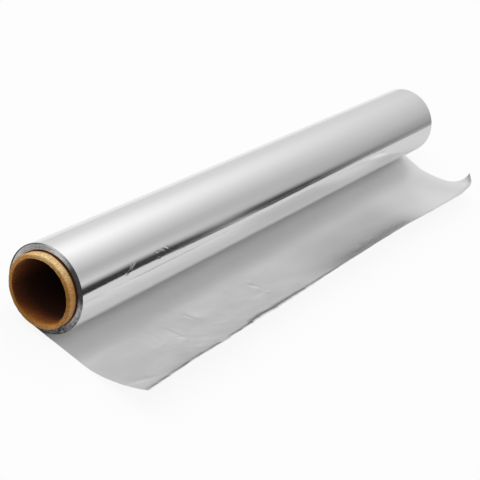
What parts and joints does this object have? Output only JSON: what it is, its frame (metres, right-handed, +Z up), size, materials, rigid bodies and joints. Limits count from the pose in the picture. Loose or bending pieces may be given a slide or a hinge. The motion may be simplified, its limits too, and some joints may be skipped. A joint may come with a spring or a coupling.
{
  "type": "aluminium foil roll",
  "caption": "Long narrow roll of kitchen foil wound on a card core that stands out at both ends, with a loose curled tail of foil lying in front, ready to tear off.",
  "frame": {"origin": "centre of the core's bore, half-way along the roll", "axes": "+X along the roll's axis towards the end with the curled corner, +Z up, the free tail lies towards -Y"},
  "size_m": [0.3078, 0.0713, 0.0354],
  "materials": {
    "kraft_board": "plain brown kraft board, matte, spiral wound",
    "foil": "rolled foil, bright outside and matte inside"
  },
  "bodies": {
    "root": {"core_tube": "kraft_board", "foil_web": "foil"}
  },
  "joints": []
}
